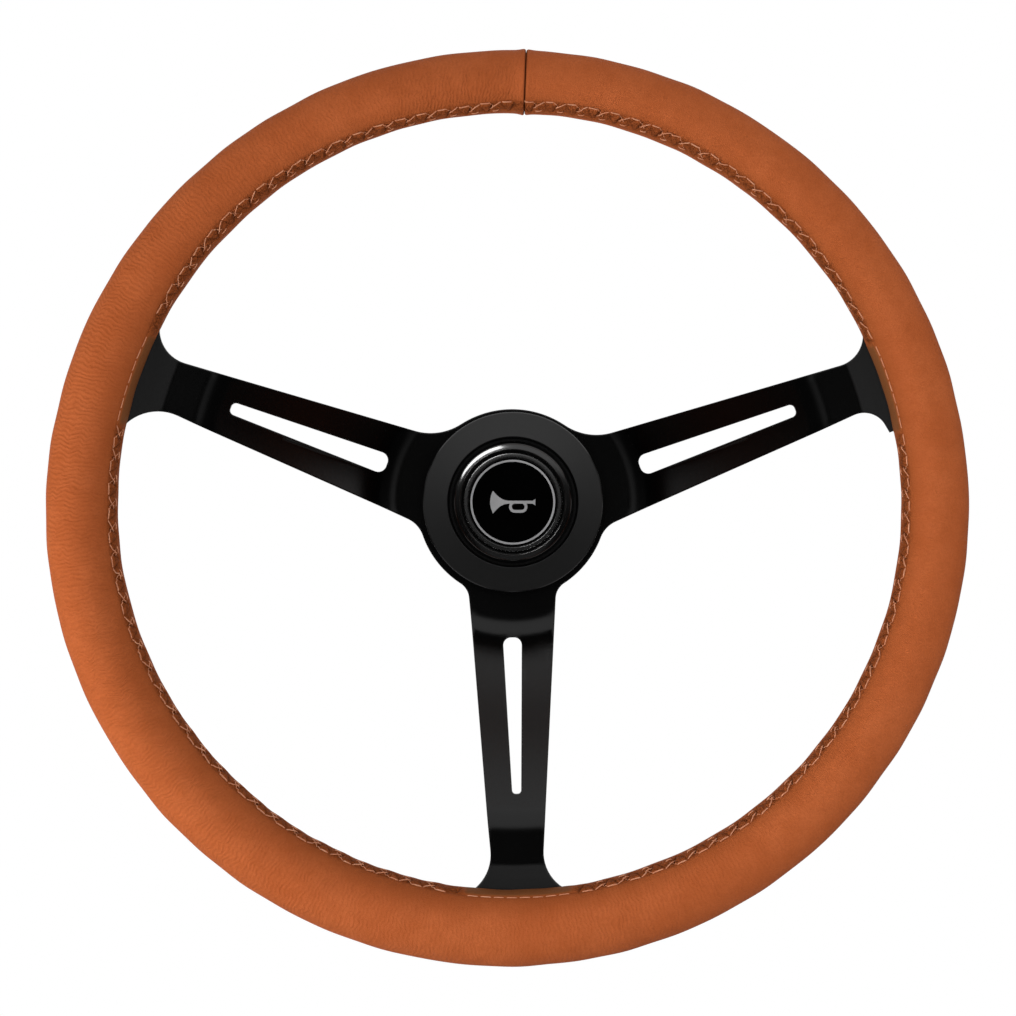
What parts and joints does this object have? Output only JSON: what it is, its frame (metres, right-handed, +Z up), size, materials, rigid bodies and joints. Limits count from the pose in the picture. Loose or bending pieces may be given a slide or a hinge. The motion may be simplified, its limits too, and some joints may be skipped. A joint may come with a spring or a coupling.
{
  "type": "car steering wheel",
  "caption": "Dished three-spoke car steering wheel with slotted black spokes, stitched tan leather grip and sprung horn button.",
  "frame": {"origin": "centre of the column bolt circle, on the rear face of the hub", "axes": "+Y along the column, away from the driver; +Z up; +X to the right as the driver sees it"},
  "size_m": [0.3809, 0.0895, 0.381],
  "materials": {
    "spoke_black": "satin",
    "hoop_steel": "satin",
    "grip_foam": "matte",
    "tan_leather": "satin",
    "ring_black": "satin",
    "cup_black": "matte",
    "fixing_steel": "satin",
    "carrier_nylon": "matte",
    "contact_brass": "satin",
    "button_black": "gloss",
    "badge_print": "gloss"
  },
  "bodies": {
    "wheel": {"spoke_plate": "spoke_black", "rim_core": "hoop_steel", "weld_beads": "hoop_steel", "foam_grip": "grip_foam", "leather_cover": "tan_leather", "centre_ring": "ring_black", "retainer_cup": "cup_black", "ring_screws": "fixing_steel", "carrier_screws": "fixing_steel", "snap_ring": "fixing_steel", "horn_spring": "fixing_steel", "contact_carrier": "carrier_nylon", "fixed_contact": "contact_brass", "contact_rivets": "contact_brass", "terminal_rivet": "contact_brass", "terminal_tab": "contact_brass"},
    "button": {"button_cap": "button_black", "button_insert": "button_black", "badge_disc": "badge_print", "moving_contact": "contact_brass", "contact_screws": "fixing_steel"}
  },
  "joints": [
    {"name": "horn_press", "type": "slide", "parent": "wheel", "child": "button", "axis": [0, 1, 0], "range_m": [0, 0.0018], "stiffness_N_per_m": 5000, "springref_m": -0.0012, "deforming": ["horn_spring"]}
  ]
}
